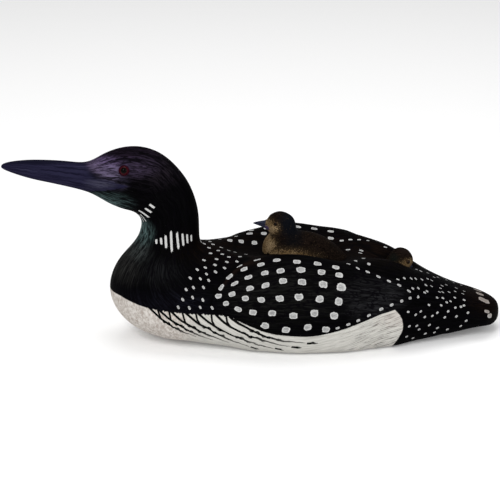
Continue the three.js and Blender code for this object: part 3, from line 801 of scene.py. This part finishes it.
def loon_paint(eyes):
    """Black and white loon plumage with violet and green sheens, painted over combed wood."""
    paint = Paint("loon plumage paint")
    comb = paint.kept("comb", "Vector")
    x, _, z = paint.parts(paint.place)
    wobble = paint.noise(700, 2)
    blotch = paint.noise(28, 3)
    fine = paint.grain(comb, 45, 1000, 1000, 3, 0.6, 0.4)
    broad = paint.grain(comb, 62, 225, 225, 4, 0.7, 0.8)
    on_head = paint.soft_spot(-165, 0, 190, 150, 80, 90, 0.5)
    combed = paint.mix(on_head, fine, broad)
    streak = paint.rise(combed, 0.42, 0.68)

    # Black, warmed and cooled in places, with a painted sheen on the top of the breast and the
    # sheens of the head and neck
    colour = paint.mix(paint.times(streak, 0.6), *BLACKS)
    colour = paint.zones(colour, PLUMAGE_ZONES, paint.between(streak, 0.2, 1.0))
    shine = paint.between(paint.rise(broad, 0.4, 0.6), 0.1, 1.05)
    colour = paint.zones(colour, SHEEN_ZONES, shine)
    hair = paint.grain(comb, 42, 230, 230, 2, 0.5, 1.4)
    hair = paint.rise(paint.size(paint.math("SUBTRACT", hair, 0.5)), 0.05, 0.02)
    colour = paint.mix(paint.times(hair, 0.85), colour, HAIR_BLACK)

    # The bill, which fades into the face above and is sharp at the gape
    bill = paint.plus(paint.kept("bill_depth"), paint.between(broad, -0.004, 0.004))
    soft = paint.between(paint.rise(z, 0.188, 0.2), 0.0007, 0.007)
    bill = paint.rise(paint.math("DIVIDE", bill, soft), -1.0, 1.0)
    scratch = paint.grain(comb, 24, 105, 105, 4, 0.65, 0.3)
    slate = paint.mix(paint.rise(scratch, 0.35, 0.65), *SLATES)
    glint = paint.rise(paint.grain(comb, 20, 170, 170, 2), 0.62, 0.7)
    slate = paint.mix(paint.times(glint, 0.5), slate, SLATE_GLINT)
    dusty = paint.soft_spot(-170, 0, 187, 26, 44, 10, 0.2)
    dusty = paint.times(dusty, paint.between(paint.rise(broad, 0.42, 0.58), 0.15, 0.75))
    slate = paint.mix(dusty, slate, SLATE_DUST)
    culmen = paint.soft_spot(-225, 0, 214.6, 95, 16, 9.5, 0.55)
    slate = paint.mix(paint.times(culmen, 0.8), slate, CULMEN)
    colour = paint.mix(bill, colour, slate)

    # Dark red round the eyes
    for middle, _, radius in eyes:
        lid = paint.soft_spot(*(middle / MM), *[LID_REACH * radius / MM] * 3, 0.85)
        colour = paint.mix(lid, colour, LID_RED)

    # The edge of the wing: painted shade in the groove in front of it, and a brown painted
    # highlight along its raised rim on the left shoulder
    wing = paint.kept("wing_depth")
    # painted shade, a dark line in the groove just in front of the wing's edge
    groove = paint.times(paint.rise(wing, -0.004, -0.0008), paint.rise(wing, 0.0006, -0.0004))
    colour = paint.mix(paint.times(groove, 0.7), colour, GROOVE_SHADE)
    # painted highlight: a brown line of light along the wing's raised rim, on the left shoulder
    # only
    rim = paint.times(paint.rise(wing, -0.0002, 0.0006), paint.rise(wing, 0.0045, 0.0006))
    rim = paint.times(rim, paint.soft_spot(-22, -60, 92, 40, 62, 30, 0.4))
    colour = paint.mix(paint.times(rim, 0.65), colour, RIM_HIGHLIGHT_BROWN)

    # White spots and bars, the spots greyer in their middles where the combing shows through
    shape = paint.noise(230, 1)
    edge = paint.plus(paint.between(shape, -0.3, 0.3), paint.between(wobble, -0.12, 0.12))
    spot = paint.plus(paint.roundness("spots", 2.9), edge)
    bar = paint.plus(paint.roundness("bars", 5), paint.between(wobble, -0.3, 0.3))
    marks = paint.math("MAXIMUM", paint.rise(spot, 1.03, 0.93), paint.rise(bar, 1.08, 0.92))
    dabs = paint.rise(paint.grain(comb, 220, 1100, 1100, 3, 0.7), 0.36, 0.6)
    inner = paint.times(paint.rise(spot, 0.82, 0.66), paint.between(dabs, 0.3, 1.0))
    on_tail = paint.soft_spot(262, 0, 40, 24, 60, 30, 0.5)
    chalk = paint.mix(on_tail, paint.mix(inner, *CHALKS), paint.mix(inner, *TAIL_CHALKS))
    colour = paint.mix(marks, colour, chalk)

    # The white breast and flank: dabs in front, brush strokes and long scratches behind
    flow = paint.kept("flow", "Vector")
    dabbed = paint.grain(paint.place, 340, 300, 210, 4, 0.75, 0.5)
    breast = paint.mix(paint.rise(dabbed, 0.36, 0.64), *BREAST_CREAMS)
    slanted = paint.grain(flow, 420, 0, 40, 4, 0.6, 0.3)
    followed = paint.grain(flow, 0, 620, 40, 4, 0.65, 0.3)
    brushed = paint.mix(paint.rise(x, -0.01, 0.06), slanted, followed)
    flank = paint.mix(paint.rise(brushed, 0.3, 0.62), *FLANK_WHITES)
    scratches = paint.grain(flow, 0, 1000, 55, 3, 0.6, 0.2)
    scratches = paint.times(paint.rise(scratches, 0.52, 0.62), paint.rise(x, 0.05, 0.14))
    flank = paint.mix(scratches, flank, FLANK_SCRATCH)
    body = paint.mix(paint.rise(x, -0.095, -0.06), breast, flank)
    rosy = paint.soft_spot(150, 0, 45, 46, 120, 30, 0.3)
    body = paint.mix(paint.times(rosy, 0.35), body, FLANK_ROSE)

    # Its black feather lines, which sway, and double for a stretch before they thin out
    sway = paint.between(paint.noise(140, 2), -1.6, 1.6)
    swerve = paint.between(paint.noise(30, 1), -0.08, 0.08)
    ragged = paint.between(wobble, -0.25, 0.25)
    across, along = paint.layer("feather_lines")
    across = paint.plus(across, paint.times(sway, paint.rise(along, 0.22, 0.5)))
    thinned = paint.between(paint.rise(along, 0.6, 1.0), 0.0, 0.6)
    line = paint.rise(paint.plus(paint.plus(paint.size(across), thinned), ragged), 1.2, 0.8)
    gap = paint.times(paint.math("SINE", paint.times(paint.plus(along, swerve), 34)), 1.45)
    partner = paint.rise(paint.size(paint.math("SUBTRACT", across, gap)), 0.65, 0.4)
    reach = paint.times(paint.rise(along, 0.25, 0.33), paint.rise(along, 0.85, 0.65))
    reach = paint.times(reach, paint.rise(x, 0.012, 0.0))
    reach = paint.times(reach, paint.rise(paint.noise(45, 1), 0.4, 0.46))
    drawn = paint.math("MAXIMUM", line, paint.times(partner, reach))
    drawn = paint.times(drawn, paint.rise(along, 1.02, 1.0))
    drawn = paint.times(drawn, paint.between(paint.rise(along, 0.5, 1.0), 1.0, 0.75))
    across, along = paint.layer("feather_ticks")
    ticks = paint.rise(paint.plus(paint.size(across), ragged), 1.2, 0.8)
    ticks = paint.times(ticks, paint.rise(along, 1.02, 1.0))
    body = paint.mix(paint.math("MAXIMUM", drawn, ticks), body, LINE_BLACK)

    # Its upper edge, notched along the feather lines only
    teeth = paint.grain(paint.place, 330, 0, 0, 2)
    notched = paint.times(paint.rise(x, -0.125, -0.105), paint.rise(x, -0.01, -0.03))
    teeth = paint.times(paint.between(teeth, -0.0035, 0.0035), notched)
    white = paint.plus(paint.kept("white_depth"), teeth)
    white = paint.plus(white, paint.between(wobble, -0.0006, 0.0006))
    white = paint.rise(white, -0.0004, 0.0004)
    colour = paint.mix(white, colour, body)

    rough = paint.plus(paint.between(combed, 0.42, 0.68), paint.between(blotch, -0.05, 0.07))
    paint.lead(colour, paint.plus(rough, paint.times(white, 0.12)), PAINT_GLOSS)
    paint.bump(paint.plus(combed, paint.times(marks, 0.35)), 0.0005, 0.55)
    return paint.material


# The chicks

def shape_chick(node, name):
    """A chick's skin: the solid with its sockets closed, made round but for its sharp folds."""
    chick = copy_solid(node, name)
    for side in ("left", "right"):
        close_socket(chick, eye_seat(f"{node}_eye_{side}")[0], CHICK_SOCKET)
    start_editing(chick, "EDGE")
    bpy.ops.mesh.edges_select_sharp(sharpness=SHARP_FOLD)
    bpy.ops.transform.edge_crease(value=1)
    bpy.ops.object.mode_set(mode="OBJECT")
    add_modifier(chick, "SUBSURF", levels=CHICK_LEVELS, render_levels=CHICK_LEVELS)
    bpy.ops.object.shade_smooth()
    return chick


# Each chick's soft ellipsoids, as for the loon: where it is tan; where it is cooler or redder than
# its down, and the front chick's painted shade at the root of its neck, with the tint and strength
# there; and its bill and chin
FRONT_CHICK = {
    "tan": [(19.5, 0, 129, 16.5, 26, 14, 0.4), (9, 0, 109, 25, 36, 20, 0.5),
            (37, 0, 99.5, 52, 62, 15.5, 0.35)],
    "tints_and_shade": [((38, 0, 131, 21, 28, 20, 0.5), (0.003, 0.004, 0.0062), 1.0),
             # painted shade where the back of the neck meets the back
             ((42, 0, 114, 20, 34, 13, 0.4), (0.002, 0.0026, 0.0036), 1.0)],
    "bill": (3.4, 2, 131.5, 10.5, 10, 10),
    "chin": (13.5, 0, 127.5, 5.5, 12, 4),
}
REAR_CHICK = {
    "tan": [(169.5, 0, 80, 18.5, 22, 13, 0.4)],
    "tints_and_shade": [((158, -4, 86, 9, 12, 10, 0.3), (0.005, 0.007, 0.006), 0.9),
             ((170, 0, 96, 12, 12, 8, 0.3), (0.01, 0.0065, 0.0055), 0.9)],
    "bill": (181.5, 1, 76, 6.5, 8, 7),
    "chin": (178, 1, 74, 6.5, 7, 5),
}

# Tints of the chicks
DOWNS = (0.0018, 0.0012, 0.001), (0.0096, 0.006, 0.0045)
UNDER_TANS = (0.022, 0.014, 0.007), (0.04, 0.026, 0.013)
GOLDS = (0.125, 0.08, 0.037), (0.21, 0.148, 0.082)
CHICK_BILLS = (0.009, 0.01, 0.019), (0.026, 0.029, 0.048)
CHIN_VIOLET = (0.045, 0.032, 0.08)


def chick_paint(name, zones):
    """Dark brown down, stippled with tan on the face, breast and low on the side."""
    paint = Paint(name)
    fleck = paint.noise(950, 3, 0.65)
    combed = paint.grain(paint.place, 220, 800, 800, 3, 0.6, 0.3)
    broad = paint.noise(90, 3)
    grain = paint.rise(combed, 0.35, 0.65)
    colour = paint.mix(grain, *DOWNS)
    # cooler and redder tints, and on the front chick painted shade at the root of its neck
    colour = paint.zones(colour, zones["tints_and_shade"], paint.between(combed, 0.7, 1.0))
    tan = paint.soft_spot(*zones["tan"][0])
    for zone in zones["tan"][1:]:
        tan = paint.math("MAXIMUM", tan, paint.soft_spot(*zone))
    colour = paint.mix(paint.times(tan, 0.85), colour, paint.mix(broad, *UNDER_TANS))
    stipple = paint.plus(tan, paint.between(fleck, -1.9, 1.9))
    gold = paint.mix(paint.rise(broad, 0.35, 0.65), *GOLDS)
    colour = paint.mix(paint.rise(stipple, 0.55, 1.05), colour, gold)
    colour = paint.mix(paint.soft_spot(*zones["chin"], 0.4), colour, CHIN_VIOLET)
    bill = paint.mix(grain, *CHICK_BILLS)
    colour = paint.mix(paint.soft_spot(*zones["bill"], 0.85), colour, bill)
    paint.lead(colour, paint.between(broad, 0.5, 0.75), PAINT_GLOSS)
    paint.bump(combed, 0.0004, 0.5)
    return paint.material


# Eyes

def shape_eye(node, name):
    """A round glass eye with a layer that tells how far a place lies from its front."""
    middle, outward, radius = eye_seat(node)
    bpy.ops.object.select_all(action="DESELECT")
    bpy.ops.mesh.primitive_uv_sphere_add(segments=48, ring_count=32, radius=radius)
    eye = bpy.context.object
    eye.name = name
    eye.data.name = name
    bpy.ops.object.mode_set(mode="EDIT")
    bpy.ops.mesh.select_all(action="SELECT")
    bpy.ops.mesh.bisect(plane_co=(0, 0, -EYE_BACK * radius), plane_no=(0, 0, 1),
                        clear_inner=True, use_fill=True)
    bpy.ops.object.mode_set(mode="OBJECT")
    places = points_of(eye)
    off = np.hypot(places[:, 0], places[:, 1]) / radius
    write_values(eye, "from_front", np.where(places[:, 2] > 0, off, 2 - off))
    turn = Vector((0, 0, 1)).rotation_difference(outward).to_matrix()
    move_points(eye, places @ np.array(turn).T + np.array(middle))
    take(eye)
    bpy.ops.object.shade_smooth()
    return eye


PUPIL = 0.5  # share of an eye's radius
PUPIL_BLACK = (0.001, 0.001, 0.001)
EYE_RIM = (0.01, 0.003, 0.004)
GLASS_GLOSS, GLASS_COAT, COAT_ROUGHNESS = 0.03, 0.02, 0.02


def eye_glass(name, iris, ring):
    """Glass with a black pupil, a dark iris and a ring of colour near its rim."""
    paint = Paint(name)
    off = paint.kept("from_front")
    mottled = paint.noise(1500, 2)
    colour = paint.mix(paint.rise(mottled, 0.3, 0.7), iris, tuple(0.6 * part for part in iris))
    colour = paint.mix(paint.rise(off, 0.58, 0.72), colour, ring)
    colour = paint.mix(paint.rise(off, 0.93, 1.02), colour, EYE_RIM)
    colour = paint.mix(paint.rise(off, PUPIL + 0.05, PUPIL - 0.05), colour, PUPIL_BLACK)
    paint.lead(colour, paint.between(mottled, 0.06, 0.12), GLASS_GLOSS)
    paint.fill(paint.shader, Coat_Weight=GLASS_COAT, Coat_Roughness=COAT_ROUGHNESS)
    paint.bump(mottled, 0.0001, 0.05)
    return paint.material


def finish_piece(piece, material, slot, *nodes):
    """Paints a piece and puts it in the place of its solid."""
    piece.data.materials.clear()
    piece.data.materials.append(material)
    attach(piece, "root")
    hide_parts(*nodes)


loon_eyes = [eye_seat("loon_eye_left"), eye_seat("loon_eye_right")]
loon = shape_loon(loon_eyes)
paint_loon(loon)
take(loon)
bpy.ops.object.shade_smooth()
finish_piece(loon, loon_paint(loon_eyes), "painted_loon", "loon")

red_glass = eye_glass("dark red glass", (0.009, 0.003, 0.002), (0.032, 0.002, 0.005))
dark_glass = eye_glass("dark brown glass", (0.01, 0.005, 0.003), (0.022, 0.012, 0.006))
for side in ("left", "right"):
    finish_piece(shape_eye(f"loon_eye_{side}", f"loon_glass_eye_{side}"), red_glass, "red_glass",
                 f"loon_eye_{side}")
    for chick in ("front_chick", "rear_chick"):
        finish_piece(shape_eye(f"{chick}_eye_{side}", f"{chick}_bead_eye_{side}"), dark_glass,
                     "dark_glass", f"{chick}_eye_{side}")

front = shape_chick("front_chick", "riding_chick")
finish_piece(front, chick_paint("front chick down", FRONT_CHICK), "painted_chick", "front_chick")
rear = shape_chick("rear_chick", "peeping_chick")
finish_piece(rear, chick_paint("rear chick down", REAR_CHICK), "painted_chick", "rear_chick")


# Floor, light and camera

FLOOR_SIZE, FLOOR_GAP = 12, 0.0002
WORLD_LIGHT = 0.46
AIM = Vector((0, 0, 0.1))
# Each light's place, size and power
LIGHTS = {"key softbox": ((-1.1, -1.9, 1.9), 1.2, 38), "fill softbox": ((1.6, -1.7, 1.2), 1.4, 18),
          "top softbox": ((0.1, 0.5, 2.2), 1.6, 21)}
AZIMUTH, ELEVATION, DISTANCE = math.radians(-4), math.radians(20), 2.25
TARGET = Vector((-0.0055, 0, 0.1))
SENSOR_WIDTH, LENS_LENGTH = 36, 144

bpy.ops.object.select_all(action="DESELECT")
bpy.ops.mesh.primitive_plane_add(size=FLOOR_SIZE, location=(0, 0, -FLOOR_GAP))
floor = bpy.context.object
floor.name = "pale_floor"
floor_paint = Paint("pale floor")
floor_paint.fill(floor_paint.shader, Base_Color=(0.9, 0.9, 0.9), Roughness=0.9,
                 Emission_Color=(1, 1, 1), Emission_Strength=0.1)
floor.data.materials.append(floor_paint.material)

world = bpy.data.worlds.new("studio")
world.use_nodes = True
sky = world.node_tree.nodes["Background"]
sky.inputs["Color"].default_value = (1, 1, 1, 1)
sky.inputs["Strength"].default_value = WORLD_LIGHT
bpy.context.scene.world = world
bpy.context.scene.view_settings.view_transform = "Standard"

for name, (place, size, power) in LIGHTS.items():
    lamp = bpy.data.lights.new(name, "AREA")
    lamp.size = size
    lamp.energy = power
    light = bpy.data.objects.new(name, lamp)
    light.location = place
    light.rotation_euler = (AIM - Vector(place)).to_track_quat("-Z", "Y").to_euler()
    bpy.context.collection.objects.link(light)

toward = Vector((math.sin(AZIMUTH) * math.cos(ELEVATION), -math.cos(AZIMUTH) * math.cos(ELEVATION),
                 math.sin(ELEVATION)))
lens = bpy.data.cameras.new("camera")
lens.sensor_width = SENSOR_WIDTH
lens.lens = LENS_LENGTH
lens.clip_end = 50
camera = bpy.data.objects.new("camera", lens)
camera.location = TARGET + toward * DISTANCE
camera.rotation_euler = (-toward).to_track_quat("-Z", "Y").to_euler()
bpy.context.collection.objects.link(camera)
bpy.context.scene.camera = camera
